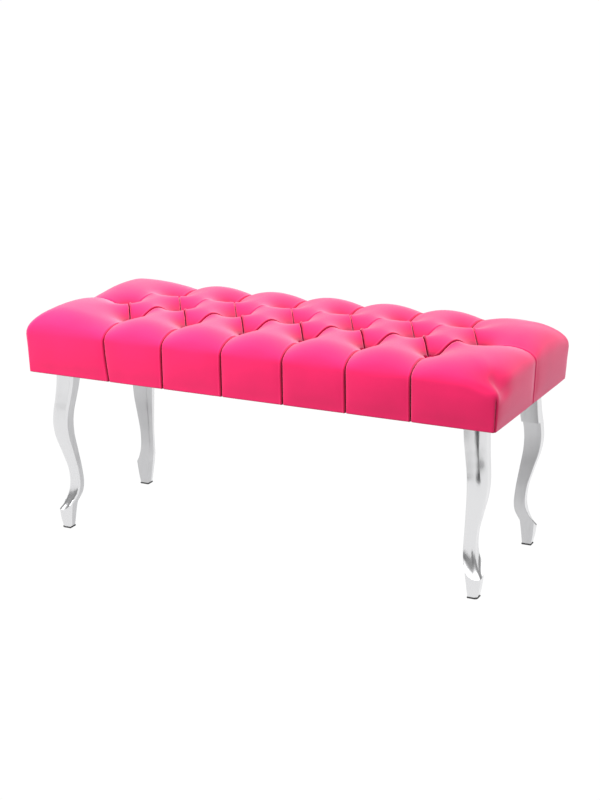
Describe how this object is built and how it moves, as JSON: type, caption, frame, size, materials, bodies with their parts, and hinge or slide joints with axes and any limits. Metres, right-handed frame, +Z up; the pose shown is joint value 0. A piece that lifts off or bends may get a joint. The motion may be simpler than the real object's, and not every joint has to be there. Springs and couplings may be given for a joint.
{
  "type": "quilted bench",
  "caption": "Backless bench with a deep diamond-tufted velvet seat, pleated down its sides, on square-topped metal cabriole legs with small glides.",
  "frame": {"origin": "on the floor under the middle of the seat", "axes": "+X along the bench to its right end, +Y to the back, +Z up; the front faces -Y"},
  "size_m": [1, 0.424, 0.4768],
  "materials": {
    "velvet": "hot pink velvet",
    "foam": "upholstery foam",
    "wadding": "polyester wadding",
    "dust_sheet": "black non-woven",
    "timber": "planed softwood",
    "plywood": "birch plywood",
    "twine": "waxed twine",
    "screw_steel": "zinc plated",
    "leg_metal": "polished cast",
    "glide": "matt black"
  },
  "bodies": {
    "root": {"velvet_cover": "velvet", "foam_core": "foam", "side_wadding": "wadding", "dust_cover": "dust_sheet", "front_rail": "timber", "back_rail": "timber", "left_rail": "timber", "right_rail": "timber", "left_cross_rail": "timber", "right_cross_rail": "timber", "seat_board": "plywood", "tuft_buttons": "velvet", "tuft_twines": "twine", "twine_toggles": "timber", "rail_screws": "screw_steel", "block_screws": "screw_steel", "board_screws": "screw_steel", "leg_studs": "screw_steel", "threaded_inserts": "screw_steel", "front_left_corner_block": "timber", "front_left_leg": "leg_metal", "front_left_glide": "glide", "front_right_corner_block": "timber", "front_right_leg": "leg_metal", "front_right_glide": "glide", "back_right_corner_block": "timber", "back_right_leg": "leg_metal", "back_right_glide": "glide", "back_left_corner_block": "timber", "back_left_leg": "leg_metal", "back_left_glide": "glide"}
  },
  "joints": []
}
